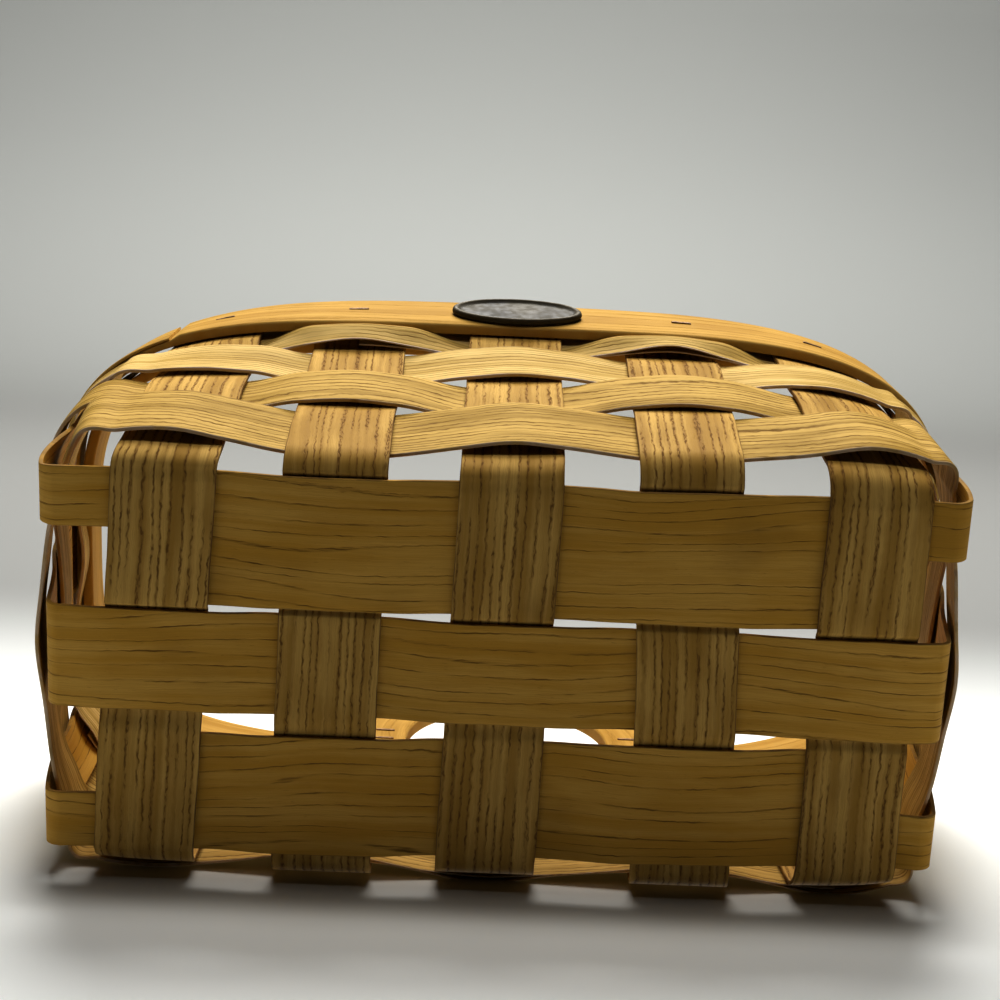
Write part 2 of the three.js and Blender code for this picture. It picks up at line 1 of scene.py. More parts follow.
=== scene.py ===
import math
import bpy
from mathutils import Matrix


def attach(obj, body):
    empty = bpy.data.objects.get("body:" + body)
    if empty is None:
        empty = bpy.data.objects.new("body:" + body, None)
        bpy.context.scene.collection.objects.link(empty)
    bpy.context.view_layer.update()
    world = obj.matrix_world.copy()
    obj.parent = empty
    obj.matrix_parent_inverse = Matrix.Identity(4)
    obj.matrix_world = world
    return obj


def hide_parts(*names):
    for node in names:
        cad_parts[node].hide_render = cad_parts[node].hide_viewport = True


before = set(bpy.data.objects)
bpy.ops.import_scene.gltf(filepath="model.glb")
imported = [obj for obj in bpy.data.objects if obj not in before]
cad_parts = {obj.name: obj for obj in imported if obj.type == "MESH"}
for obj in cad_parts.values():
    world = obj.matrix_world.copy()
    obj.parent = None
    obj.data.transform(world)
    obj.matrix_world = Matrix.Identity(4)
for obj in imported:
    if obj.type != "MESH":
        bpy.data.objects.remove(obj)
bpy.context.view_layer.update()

from types import SimpleNamespace as Settings

import bmesh
import bpy
import numpy as np
from mathutils import Matrix, Vector

scene = bpy.context.scene
mm = 0.001  # in metres

# The basket's own sizes, in millimetres, as its frame has them.
basket = Settings(
    stakeThick=1.1,
    weaverThick=1.0,
    splintGap=0.35,
    crossWidth=25.4,
    crossPitch=43.8,
    crossNudge=[2.0, 1.4, 0, 3.1, 3.4],
    crossSkew=[-5.4, -1.6, -2.2, 4.2, 0.4],  # in each hundred across the bottom
    crossLean=[1.8, 0.8, 0.8, 0.7, -4.8],  # at the rim
    longWidths=[34.2, 26.8, 32.4],
    endWidths=[15.3, 26.8, 15.0],
    longGaps=[1.9, 4.8],
    longShift=0.15,
    longSkew=[0, 0.4, -1.2],
    longFan=1.09,  # how much further apart their ends are at the rim
    hoopHeight=19.0,
    rimHeight=101.7,
    stakeBelowRim=1.6,
    pressRun=8.0,  # below the hoops, over which the stakes are pressed in line
    pressPlay=0.05,
)
endWall = Settings(half=112.0, bend=4.0, flare=math.radians(5.4), bow=1.9)
sideWall = Settings(half=56.6, bend=7.4, flare=math.radians(6.8), bow=0.0)
# how square each corner is at the foot and at the rim, and how late it changes between them:
# front left, front right, back right, back left
corners = Settings(
    low=np.array([8.5, 14, 12, 14]),
    rim=np.array([3.2, 3.6, 3.6, 3.6]),
    delay=np.array([1.5, 0.9, 0.9, 0.9]),
)
# the front wall has settled a little hollow, deepest to the left of its middle
hollow = Settings(depth=2.7, left=(-112, -70), right=(-20, 55), foot=(0, 8), rim=(64, 86))
crossings = (basket.stakeThick + basket.weaverThick) / 2 + basket.splintGap
midZ = basket.stakeThick + basket.splintGap / 2
bottomWave = (basket.stakeThick + basket.splintGap) / 2
hoopLow = basket.rimHeight - basket.hoopHeight
pressFrom = hoopLow - basket.pressRun
rimPress = crossings / 2 - basket.pressPlay


def smooth(x, low, high):
    t = np.clip((x - low) / (high - low), 0, 1)
    return t * t * (3 - 2 * t)


def mix(a, b, t):
    return a + (b - a) * t


waves = ((0.45, 2.1), (0.3, 3.7), (0.15, 6.9), (0.1, 12.7))  # how high and how close each is


def waver(x, seed, length):  # a slow hand-made unevenness between -1 and 1
    x = np.asarray(x, float) / length
    phases = np.random.default_rng(seed).uniform(0, 6.28, len(waves))
    return sum(high * np.sin(x * close + phase) for (high, close), phase in zip(waves, phases))


# The wall: an outline that is squarer below and rounder at the rim, at any height.
def footSlope(wall):
    return math.atan(math.tan(wall.flare) + wall.bow * math.pi / basket.rimHeight)


def bendTop(wall):
    return midZ + wall.bend * (1 - math.sin(footSlope(wall)))


def straightReach(z, wall):
    bow = wall.bow * np.sin(z * math.pi / basket.rimHeight)
    return wall.half + z * math.tan(wall.flare) + bow


def reach(z, wall):
    top = bendTop(wall)
    centre = straightReach(top, wall) - wall.bend * math.cos(footSlope(wall))
    turn = np.clip(1 - (z - midZ) / wall.bend, -1, 1)
    return np.where(z >= top, straightReach(z, wall), centre + wall.bend * np.sqrt(1 - turn * turn))


def outlineShape(x, y, z):
    corner = np.where(y < 0, np.where(x < 0, 0, 1), np.where(x < 0, 3, 2))
    low = bendTop(endWall)
    t = np.clip((z - low) / (basket.rimHeight - low), 0, 1) ** corners.delay[corner]
    n = 1 / mix(1 / corners.low[corner], 1 / corners.rim[corner], t)
    return reach(z, endWall), reach(z, sideWall), n


def outlinePoint(angle, z):
    c, s = np.cos(angle), np.sin(angle)
    a, b, n = outlineShape(c, s, z)
    k = ((np.abs(c) / a) ** n + (np.abs(s) / b) ** n) ** (-1 / n)
    return c * k, s * k


def wallX(y, z, side):
    a, b, n = outlineShape(side, y, z)
    return side * a * (1 - (np.abs(y) / b) ** n) ** (1 / n)


def wallY(x, z, side):
    a, b, n = outlineShape(x, side, z)
    return side * b * (1 - (np.abs(x) / a) ** n) ** (1 / n)


# the outline measured once: a ring for each millimetre of height, from the middle of the front
levels = np.arange(0.0, 112.0)
turns = np.linspace(-math.pi / 2, 1.5 * math.pi, 1441)
ringX, ringY = outlinePoint(turns[None, :], levels[:, None])
ringSteps = np.hypot(np.diff(ringX), np.diff(ringY))
ringRun = np.concatenate([np.zeros((len(levels), 1)), np.cumsum(ringSteps, axis=1)], axis=1)


def betweenLevels(z, perLevel):
    z = np.clip(z, 0, levels[-1] - 1e-6)
    low = np.floor(z).astype(int)
    share = z - low
    return (1 - share) * perLevel(low) + share * perLevel(low + 1)


def angleAt(distance, z):
    distance, z = np.broadcast_arrays(np.asarray(distance, float), np.asarray(z, float))

    def perLevel(level):
        out = np.empty(distance.shape)
        for k in np.unique(level):
            here = level == k
            laps = np.floor(distance[here] / ringRun[k, -1])
            rest = distance[here] - laps * ringRun[k, -1]
            out[here] = np.interp(rest, ringRun[k], turns) + laps * 2 * math.pi
        return out

    return betweenLevels(z, perLevel)


def roundAt(z):  # the whole way round at a height
    return np.interp(z, levels, ringRun[:, -1])


def settled(x, y, z):
    wide = smooth(x, *hollow.left) * (1 - smooth(x, *hollow.right)) * (y < 0)
    return -hollow.depth * wide * smooth(z, *hollow.foot) * (1 - smooth(z, *hollow.rim))


def onWall(distance, z, offset):
    distance, z, offset = np.broadcast_arrays(distance, z, offset)
    x, y = outlinePoint(angleAt(distance, z), z)
    offset = offset + settled(x, y, z)
    a, b, n = outlineShape(x, y, z)
    gx = np.sign(x) * (np.abs(x) / a) ** (n - 1) / a
    gy = np.sign(y) * (np.abs(y) / b) ** (n - 1) / b
    size = np.hypot(gx, gy)
    out = np.stack([gx / size, gy / size, 0 * x], -1)
    return np.stack([x, y, z + 0 * x], -1) + out * offset[..., None], out


# Where the splints run across the bottom.
def layLongSplints():
    widths, gaps = basket.longWidths, basket.longGaps
    edge = -(sum(widths) + sum(gaps)) / 2 + basket.longShift
    middles = []
    for width, gap in zip(widths, gaps + [0]):
        middles.append(edge + width / 2)
        edge += width + gap
    return middles


crossX = [(i - 2) * basket.crossPitch + nudge for i, nudge in enumerate(basket.crossNudge)]
longY = layLongSplints()
# up the end walls the wide lengthwise splints are cut down on their inner side
cutDown = [low - end for low, end in zip(basket.longWidths, basket.endWidths)]
endY = [y + (i - 1) * cutDown[i] / 2 for i, y in enumerate(longY)]


def crossAt(index, y):
    return crossX[index] + basket.crossSkew[index] * y / 100


def longAt(index, x):
    return longY[index] + basket.longSkew[index] * x / 100


# The sixteen posts of the wall, anticlockwise from the middle of the front.
posts = [("cross", i, -1) for i in (2, 3, 4)]
posts += [("long", i, 1) for i in (0, 1, 2)]
posts += [("cross", i, 1) for i in (4, 3, 2, 1, 0)]
posts += [("long", i, -1) for i in (2, 1, 0)]
posts += [("cross", i, -1) for i in (0, 1)]


def postWidth(post):
    return basket.crossWidth if post[0] == "cross" else basket.endWidths[post[1]]


def postOnLevels(post):
    kind, index, side = post
    rise = levels / basket.rimHeight
    if kind == "cross":
        x = crossAt(index, side * sideWall.half) + basket.crossLean[index] * rise
        y = wallY(x, levels, side)
    else:
        skew = basket.longSkew[index] * side * endWall.half / 100
        y = (endY[index] + skew) * mix(1, basket.longFan, rise)
        x = wallX(y, levels, side)
    angle = np.arctan2(y, x)
    angle = np.where(angle < turns[0] - 0.3, angle + 2 * math.pi, angle)  # left of the front's middle
    return np.array([np.interp(a, turns, run) for a, run in zip(angle, ringRun)])


postTable = np.array([postOnLevels(post) for post in posts])


def postDistance(number, z):
    laps, number = divmod(number, len(posts))
    return np.interp(z, levels, postTable[number]) + laps * roundAt(z)


def rowSide(row, number):
    return 1 if (row + number) % 2 == 0 else -1


# Strips: a closed grid whose rows run along the splint and whose columns run round its section.
def stripSection(width, thick, arris, columns):
    flat = np.linspace(-1, 1, columns) * (width / 2 - arris)
    corner = [math.radians(a) for a in (22.5, 45, 67.5)]
    w, t = width / 2 - arris, thick / 2 - arris
    walk = [(c, thick / 2) for c in flat]
    walk += [(w + arris * math.sin(a), t + arris * math.cos(a)) for a in corner]
    walk += [(width / 2, t), (width / 2, -t)]
    walk += [(w + arris * math.cos(a), -t - arris * math.sin(a)) for a in corner]
    walk += [(c, -thick / 2) for c in flat[::-1]]
    walk += [(-w - arris * math.sin(a), -t - arris * math.cos(a)) for a in corner]
    walk += [(-width / 2, -t), (-width / 2, t)]
    walk += [(-w - arris * math.cos(a), t + arris * math.sin(a)) for a in corner]
    return np.array(walk)


# Points and grain are rows by columns by three, and the last column joins the first.
def growStrip(name, points, grain, seed):
    rows, columns = points.shape[:2]
    bm = bmesh.new()
    bmesh.ops.create_grid(bm, x_segments=rows - 1, y_segments=columns, size=1)
    grainLayer = bm.verts.layers.float_vector.new("grain")
    seedLayer = bm.verts.layers.float.new("seed")
    for vert in bm.verts:
        i = round((vert.co.x + 1) / 2 * (rows - 1))
        j = round((vert.co.y + 1) / 2 * columns) % columns
        vert.co = Vector(points[i, j]) * mm
        vert[grainLayer] = Vector(grain[i, j])
        vert[seedLayer] = seed
    bmesh.ops.remove_doubles(bm, verts=bm.verts, dist=1e-7)
    ends = [e for e in bm.edges if e.is_boundary]
    bmesh.ops.holes_fill(bm, edges=ends, sides=0)
    bmesh.ops.recalc_face_normals(bm, faces=bm.faces)
    for face in bm.faces:
        face.smooth = len(face.verts) < 5
    for edge in ends:
        edge.smooth = False
    return makeObject(name, bm)


def makeObject(name, bm):
    mesh = bpy.data.meshes.new(name)
    bm.to_mesh(mesh)
    bm.free()
    made = bpy.data.objects.new(name, mesh)
    scene.collection.objects.link(made)
    return made


def lengthAlong(points):
    steps = np.linalg.norm(np.diff(points, axis=0), axis=1)
    return np.concatenate([[0], np.cumsum(steps)])


# Along, across and the distance to the edge, in millimetres, for the grain to follow.
def grainOf(points, across, toEdge):
    along = lengthAlong(points.mean(axis=1))
    shape = points.shape[:2]
    return np.stack([np.broadcast_to(v, shape) for v in (along[:, None], across, toEdge)], -1)


def growEven(name, rows, section, width, seed):  # a strip of one section all along
    points = np.array(rows)
    toEdge = width / 2 - np.abs(section[:, 0])
    return growStrip(name, points, grainOf(points, section[:, 0], toEdge), seed)


def dress(piece, node, finish):
    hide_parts(node)
    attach(piece, "root")
    piece.data.materials.clear()
    piece.data.materials.append(finish)
    return piece


# Stakes: over and under across the bottom, round the bends and up both walls.
stake = Settings(
    arris=0.2,
    crossColumns=9,
    longColumns=13,
    wallStep=1.8,
    bendRows=12,
    crossingRows=13,
    gapRows=(5, 10),  # in a narrow gap of the bottom and in a wide one
    wideGap=8,
    swell=0.12,  # of the bottom's wave, at the middle of each crossing
    widthWaver=0.012,
    edgeWaver=0.16,
    leanWaver=0.14,
    waverLengths={"width": 24, "edge": 31, "lean": 40},
    leanFrom=18,
    squareTo=2,  # below the second weaver, where the end posts have taken the wall's curve
    swings=[0.9, 0.6, 0.5, 1.4],  # how far each weaver pulls it out of line
    swingFade=5,
    footReach=0.5,  # below the lowest weaver its pull fades this much slower
    seeds={"cross": 3, "long": 11},
    grainSeed=7.31,
)


def narrowed(section, width):
    half = np.abs(section[:, 0]).max()
    flat = half - stake.arris
    x = np.abs(section[:, 0])
    inside = x / flat * (width / 2 - stake.arris)
    return np.sign(section[:, 0]) * np.where(x <= flat, inside, width / 2 - half + x)


def handCut(columns, run, seed):
    lengths = stake.waverLengths
    wide = 1 + stake.widthWaver * waver(run, seed + 1, lengths["width"])
    return columns * wide + stake.edgeWaver * waver(run, seed + 2, lengths["edge"])


def crossed(kind, index):  # middles and widths of the splints that one crosses on the bottom
    if kind == "cross":
        return [longAt(i, crossX[index]) for i in range(len(longY))], basket.longWidths
    middles = [crossAt(i, longY[index]) for i in range(len(crossX))]
    return middles, [basket.crossWidth] * len(middles)


def stakeOffset(number, z):
    offset = -rowSide(topRow, number) * smooth(z, pressFrom, hoopLow) * rimPress
    free = 1 - smooth(z, hoopLow - stake.swingFade, hoopLow)
    for row, swing in enumerate(stake.swings):
        width = weaver.widths[row]
        away = z - weaverLows[row] - width / 2
        away = np.where(away < 0, away * stake.footReach, away) if row == 0 else away
        pull = swing * smooth(1 - abs(away) / width, 0, 1) * free
        offset = offset - rowSide(row, number) * pull
    return offset


# Rows from the bend up to the rim, each the whole section, with the grain's place across.
def stakeSide(post, section, seed):
    kind, index, side = post
    number = posts.index(post)
    wall = sideWall if kind == "cross" else endWall
    widthAxis, outAxis = (0, 1) if kind == "cross" else (1, 0)
    # the columns run the same way on both walls and across the bottom
    way = 1 if (kind == "cross") == (side < 0) else -1
    columns = narrowed(section, postWidth(post))
    slope, top, bend = footSlope(wall), bendTop(wall), wall.bend
    middles, widths = crossed(kind, index)
    last = 0 if side < 0 else -1
    edge = abs(middles[last]) + widths[last] / 2
    fold = math.pi / 2 - slope
    upTo = basket.rimHeight - basket.stakeBelowRim
    shift = endY[index] - longY[index] if kind == "long" else 0

    def wallRow(z, square):
        run = side * (edge + bend * fold + z - top)
        distance = postDistance(number, z) + way * handCut(columns, run, seed)
        uneven = stake.leanWaver * waver(z, seed + 3, stake.waverLengths["lean"])
        lean = uneven * smooth(z, top, top + stake.leanFrom)
        centre, out = onWall(distance, z, stakeOffset(number, z) + lean)
        if kind == "long":
            centre[:, 0] = mix(centre[:, 0], side * np.abs(centre[:, 0]).max(), square)
            out = mix(out, np.array([side, 0, 0]), square)
            out /= np.linalg.norm(out, axis=1)[:, None]
        return centre, out

    rows = []
    for z in np.linspace(top, upTo, int((upTo - top) / stake.wallStep)):
        square = 1 - smooth(z, bendTop(endWall), weaverLows[1] - stake.squareTo)
        centre, out = wallRow(z, square)
        rows.append(centre + out * section[:, 1:2])
    foot, footOut = wallRow(top, 1)
    flatEnd = side * (straightReach(top, wall) - bend * math.cos(slope))
    flatMiddle = crossAt(index, side * edge) if kind == "cross" else longAt(index, side * edge)
    flatMiddle += shift
    bends = []
    for turn in np.linspace(0, fold, stake.bendRows)[1:-1]:
        centre = foot.copy()
        centre[:, outAxis] = mix(flatEnd, foot[:, outAxis], math.sin(turn) / math.cos(slope))
        centre[:, 2] -= bend * (math.cos(turn) - math.sin(slope))
        cuts = [handCut(columns, side * (edge + bend * t), seed) for t in (turn, fold)]
        wallWide = foot[:, widthAxis] + cuts[0] - cuts[1]
        centre[:, widthAxis] = mix(flatMiddle + cuts[0], wallWide, smooth(turn / fold, 0, 1))
        look = footOut * math.sin(turn)
        look[:, 2] = -math.cos(turn)
        bends.append(centre + look * section[:, 1:2])
    grained = np.stack([columns + shift, postWidth(post) / 2 - np.abs(columns)], -1)
    return [np.hstack([row, grained]) for row in bends + rows]


def bottomRows(kind, index, section, seed):
    middles, widths = crossed(kind, index)
    full = basket.crossWidth if kind == "cross" else basket.longWidths[index]
    places, lifts = [], []
    for i, centre in enumerate(middles):
        lift = -1 if (i + index) % 2 == (0 if kind == "cross" else 1) else 1
        start, end = centre - widths[i] / 2, centre + widths[i] / 2
        for t in np.linspace(0, 1, stake.crossingRows):
            places.append(mix(start, end, t))
            lifts.append(lift * (1 + stake.swell * math.sin(math.pi * t)))
        if i + 1 < len(middles):
            after = middles[i + 1] - widths[i + 1] / 2
            steps = stake.gapRows[int(after - end > stake.wideGap)]
            for k in range(1, steps):
                places.append(mix(end, after, k / steps))
                lifts.append(lift * math.cos(math.pi * k / steps))
    rows = []
    for place, lift in zip(places, lifts):
        width, shift = full, 0
        if kind == "long":  # cut down beyond the outer cross splints
            cut = max(0, middles[0] - place, place - middles[-1]) / (widths[0] / 2)
            width = mix(full, basket.endWidths[index], cut)
            shift = cut * (endY[index] - longY[index])
        columns = narrowed(section, width)
        middle = crossAt(index, place) if kind == "cross" else longAt(index, place) + shift
        wide = middle + handCut(columns, place, seed)
        height = midZ + lift * bottomWave - section[:, 1]
        run = np.full(len(section), place)
        grained = [columns + shift, width / 2 - np.abs(columns)]
        flat = [wide, run] if kind == "cross" else [run, wide]
        rows.append(np.stack(flat + [height] + grained, -1))
    return rows


def makeStake(kind, index):
    seed = stake.seeds[kind] + index
    columns = stake.crossColumns if kind == "cross" else stake.longColumns
    width = basket.crossWidth if kind == "cross" else basket.longWidths[index]
    section = stripSection(width, basket.stakeThick, stake.arris, columns)
    first = stakeSide((kind, index, -1), section, seed)
    second = stakeSide((kind, index, 1), section, seed)
    rows = np.array(first[::-1] + bottomRows(kind, index, section, seed) + second)
    where = ["Front", "Middle", "Back"]
    name = f"crossSplint{index + 1}" if kind == "cross" else f"longSplint{where[index]}"
    points = rows[..., :3]
    grain = grainOf(points, rows[..., 3], rows[..., 4])
    return growStrip(name, points, grain, seed * stake.grainSeed)


# Weavers: outside and inside the posts in turn, with shaved ends that lap over four posts.
weaver = Settings(
    widths=[26.1, 21.2, 18.3, 16.0],
    lowest=8.5,
    rowGap=0.4,
    crown=2.3,
    starts=[6, 7, 8, 15],  # the post where each one's lap begins
    lapPosts=4,
    lapThick=0.45,
    lapGap=0.25,
    lapCrown=0.5,
    arris=0.3,
    columns=9,
    # the top weaver's columns from its middle, close together where it turns in under the hoop
    topColumns=[-7.7, -6.7, -5.6, -4.5, -3.5, -2.7, -2.1, -1.7, -1.4]
    + [-1.15, -0.95, -0.7, 0.1, 2.1, 4.1, 6, 7.7],
    crossingRows=15,
    gapRows=11,
    cornerRows=26,
    edgeWaver=0.3,
    topWaver=0.15,
    waverLength=45,
    crownWaver=0.2,
    topCrown=[0.9, 1.35],  # the top weaver's further bulge, low and near the rim
    topFull=0.85,  # how much of that its edges keep beside the stake
    rimFrom=(7, 2),
    freeRun=0.9,
    heldFrom=0.1,
    heldCrown=0.02,
    edgeSlope=1.25,
    rowCrown=[0.4, -0.2, 0, 0],
    postCrown={(0, 14): 0.7, (0, 2): 0.6, (3, 15): -0.6},  # by row and post
    cornerLift=0.9,
    cornerBulge=[2.6, 1.2, 2.6, 0.8],
    crownSeed=40,
    waverSeed=60,
    grainSeeds=(3.7, 11.3),  # the first weaver's and the step to the next
)
topRow = len(weaver.widths) - 1
lastStep = len(posts) + weaver.lapPosts - 1


def weaverLow(row):
    return weaver.lowest + sum(width + weaver.rowGap for width in weaver.widths[:row])


weaverLows = [weaverLow(row) for row in range(topRow + 1)]


def ease(start, end, slopeStart, slopeEnd, span, t):
    t2, t3 = t * t, t * t * t
    level = (2 * t3 - 3 * t2 + 1) * start + (3 * t2 - 2 * t3) * end
    return level + ((t3 - 2 * t2 + t) * slopeStart + (t3 - t2) * slopeEnd) * span


def lapLayer(step):  # -1 in the first layer of the lap, 1 in the last
    first = 1 - min(max(step - (weaver.lapPosts - 1), 0), 1)
    last = 1 - min(max(len(posts) - step, 0), 1)
    return last - first


def atCorner(number):  # the weaver turns a corner after this post
    return posts[number % len(posts)][0] != posts[(number + 1) % len(posts)][0]


def weaverStations(start):
    stations = []
    middle = weaver.crossingRows // 2
    for step in range(lastStep + 1):
        shares = np.linspace(-1, 1, weaver.crossingRows)
        if step == 0:
            shares = shares[middle:]
        if step == lastStep:
            shares = shares[: middle + 1]
        stations += [(step, 0, t) for t in shares]
        if step < lastStep:
            rows = weaver.cornerRows if atCorner(start + step) else weaver.gapRows
            stations += [(step, 1, t) for t in np.linspace(0, 1, rows)[1:-1]]
    return stations


def weaverSection(row):
    columns = len(weaver.topColumns) if row == topRow else weaver.columns
    section = stripSection(weaver.widths[row], basket.weaverThick, weaver.arris, columns)
    if row == topRow:
        half = weaver.topColumns[-1]
        evenly = np.linspace(-half, half, columns)
        spaced = np.interp(section[:, 0], evenly, weaver.topColumns)
        section[:, 0] = np.where(np.abs(section[:, 0]) <= half, spaced, section[:, 0])
    return section


def makeWeaver(row):
    start = weaver.starts[row]
    section = weaverSection(row)
    heights = weaverLows[row] + weaver.widths[row] / 2 + section[:, 0]
    top = row == topRow
    held = smooth(heights, hoopLow - weaver.freeRun, hoopLow - weaver.heldFrom) * top
    nearRim = smooth(heights, *(hoopLow - below for below in weaver.rimFrom)) * top
    upper = mix(*weaver.topCrown, nearRim) * top
    dice = np.random.default_rng(weaver.crownSeed + row)
    uneven = weaver.crownWaver * dice.uniform(-1, 1, len(posts))
    crowns = weaver.crown + weaver.rowCrown[row] + uneven

    def crossing(step):
        number = (start + step) % len(posts)
        half = postWidth(posts[number]) / 2
        side = rowSide(row, number)
        crown = crowns[number] + weaver.lapCrown * lapLayer(step) * side
        crown = crown + weaver.postCrown.get((row, number), 0) * (1 - nearRim)
        middle = side * mix(crown + upper, crossings + weaver.heldCrown, held)
        lifts = [weaver.cornerLift * (side > 0) * atCorner(number + k) * (1 - held) for k in (-1, 0)]
        edges = [side * crossings + lift for lift in lifts]
        if side > 0:  # the broad bulge under the hoop
            edges = [mix(edge, weaver.topFull * middle, nearRim * (1 - held)) for edge in edges]
        slopes = [weaver.edgeSlope * (middle - edge) / half for edge in edges]
        centre = postDistance(start + step, heights)
        return Settings(centre=centre, half=half, edges=edges, middle=middle, slopes=slopes)

    rows = []
    for step, between, t in weaverStations(start):
        here = crossing(step)
        if between:
            after = crossing(step + 1)
            begin, end = here.centre + here.half, after.centre - after.half
            distance = mix(begin, end, t)
            edges = here.edges[1], after.edges[0]
            slopes = -here.slopes[1], after.slopes[0]
            offset = ease(*edges, *slopes, end - begin, t)
            if atCorner(start + step):
                offset += weaver.cornerBulge[row] * math.sin(math.pi * t) ** 2 * (1 - held)
            layer = lapLayer(step + t)
        else:
            distance = here.centre + t * here.half
            end = int(t > 0)
            edge, slope = here.edges[end], here.slopes[end]
            offset = ease(edge, here.middle, slope, 0, here.half, 1 - abs(t))
            layer = lapLayer(step)
        thin = mix(1, weaver.lapThick / basket.weaverThick, abs(layer))
        shift = layer * (weaver.lapThick + weaver.lapGap) / 2
        amount = weaver.topWaver if top else weaver.edgeWaver
        drift = amount * waver(np.mean(distance), weaver.waverSeed + row, weaver.waverLength)
        follow = held * rimPress * np.clip(offset / crossings, -1, 1)
        centre, out = onWall(distance, heights + drift, offset - follow + shift)
        rows.append(centre + out * (section[:, 1:2] * thin))
    first, step = weaver.grainSeeds
    return growEven(f"weaver{row + 1}", rows, section, weaver.widths[row], first + row * step)


# Hoops: milled strips with a long scarf where the ends lap.
hoop = Settings(
    thick=3.0,
    gap=0.5,
    arris=0.75,
    lap=62.0,
    shoulder=3.0,  # from the scarf's end to the strip's full thickness
    feather=0.7,
    lapGap=0.25,
    lapAt={"outer": 0.766, "inner": 0.33},  # share of the way round, from the middle of the front
    columns=9,
    lapRows=30,
    roundRows=330,
    waver=0.12,
    waverLength=60,
    seeds={"outer": 5, "inner": 6},
    grainSeed=1.7,
)
hoopSeat = basket.stakeThick / 2 + rimPress + hoop.gap
hoopFace = hoopSeat + hoop.thick


def hoopShares(lap, shoulder):
    lapped = np.linspace(0, lap, hoop.lapRows)
    return [*lapped, *np.linspace(lap + shoulder, 1 - shoulder, hoop.roundRows), *(1 + lapped)]


def wedge(t):
    return mix(hoop.feather, hoop.thick - hoop.feather - hoop.lapGap, t)


def scarf(share, lap):  # how far the strip reaches from its seat, near and far
    if share <= lap:
        return 0, wedge(share / lap)
    if share < 1:
        return 0, hoop.thick
    return wedge((share - 1) / lap) + hoop.lapGap, hoop.thick


def makeHoop(where, way):  # way is 1 for the hoop outside the stakes and -1 for that inside
    lapAt, seed = hoop.lapAt[where], hoop.seeds[where]
    whole = roundAt(basket.rimHeight)
    lap = hoop.lap / whole
    section = stripSection(basket.hoopHeight, hoop.thick, hoop.arris, hoop.columns)
    z = hoopLow + basket.hoopHeight / 2 + section[:, 0]
    rows = []
    for share in hoopShares(lap, hoop.shoulder / whole):
        near, far = scarf(share, lap)
        depth = (section[:, 1] / hoop.thick + 0.5) * (far - near) + near
        bow = hoop.waver * waver(share * whole, seed, hoop.waverLength)
        rows.append(onWall((lapAt + share) * roundAt(z), z, way * (hoopSeat + depth) + bow)[0])
    return growEven(f"{where}Hoop", rows, section, basket.hoopHeight, seed * hoop.grainSeed)


# The hanging loop: a flat bow whose tails lie on the inner hoop.
loop = Settings(
    width=13.0,
    thick=4.5,
    halfInner=30.0,
    shift=5.3,
    spring=90.0,
    arch=40.0,
    tail=22.0,
    arris=1.0,
    columns=5,
    tailRows=16,
    archRows=90,
    endWidth=0.72,
    endThick=0.6,
    endRows=(3, 5),  # how many rows from its end each tail is narrowed and thinned
    grainSeed=91.3,
)
tailEdge = loop.halfInner + loop.width + loop.shift
loopLowY = float(wallY(tailEdge, hoopLow, 1))
loopLean = math.atan((float(wallY(tailEdge, basket.rimHeight, 1)) - loopLowY) / basket.hoopHeight)
loopSeat = hoopFace + hoop.gap


def loopPoint(x, z, inward):
    return np.stack([x + loop.shift, loopLowY + (z - hoopLow) * math.tan(loopLean) - inward, z], -1)


def loopTail(x, start, end):
    shares = np.linspace(start, end, loop.tailRows)
    return [(x, loop.spring - loop.tail * (1 - t)) for t in shares]


def makeLoop():
    half = loop.halfInner + loop.width / 2
    high = loop.arch + loop.width / 2
    arc = np.linspace(math.pi, 0, loop.archRows)[1:-1]
    arch = [(half * math.cos(a), loop.spring + high * math.sin(a)) for a in arc]
    path = np.array(loopTail(-half, 0, 1) + arch + loopTail(half, 1, 0))
    section = stripSection(loop.width, loop.thick, loop.arris, loop.columns)
    narrowRows, thinRows = loop.endRows
    rows = []
    for i, spot in enumerate(path):
        way = path[min(len(path) - 1, i + 1)] - path[max(0, i - 1)]
        way /= np.linalg.norm(way)
        fromEnd = min(i, len(path) - 1 - i)
        wide = section[:, 0] * mix(loop.endWidth, 1, smooth(fromEnd, 0, narrowRows))
        thin = mix(loop.endThick, 1, smooth(fromEnd, 0, thinRows))
        deep = (section[:, 1] + loop.thick / 2) * thin
        rows.append(loopPoint(spot[0] - way[1] * wide, spot[1] + way[0] * wide, loopSeat + deep))
    return growEven("hangingLoop", rows, section, loop.width, loop.grainSeed)


# Shader wiring: a Wire is one socket, on which sums can be written.
class Wire:
    def __init__(self, finish, socket):
        self.finish, self.socket = finish, socket

    def sum(self, operation, *others):
        return self.finish.node("ShaderNodeMath", {"operation": operation}, dict(enumerate(others)))

    def __add__(self, other):
        return self.sum("ADD", self, other)

    def __sub__(self, other):
        return self.sum("SUBTRACT", self, other)

    def __mul__(self, other):
        return self.sum("MULTIPLY", self, other)

    def __truediv__(self, other):
        return self.sum("DIVIDE", self, other)

    def __radd__(self, other):
        return self.sum("ADD", other, self)

    def __rsub__(self, other):
        return self.sum("SUBTRACT", other, self)

    def __rmul__(self, other):
        return self.sum("MULTIPLY", other, self)

    def __abs__(self):
        return self.sum("ABSOLUTE", self)


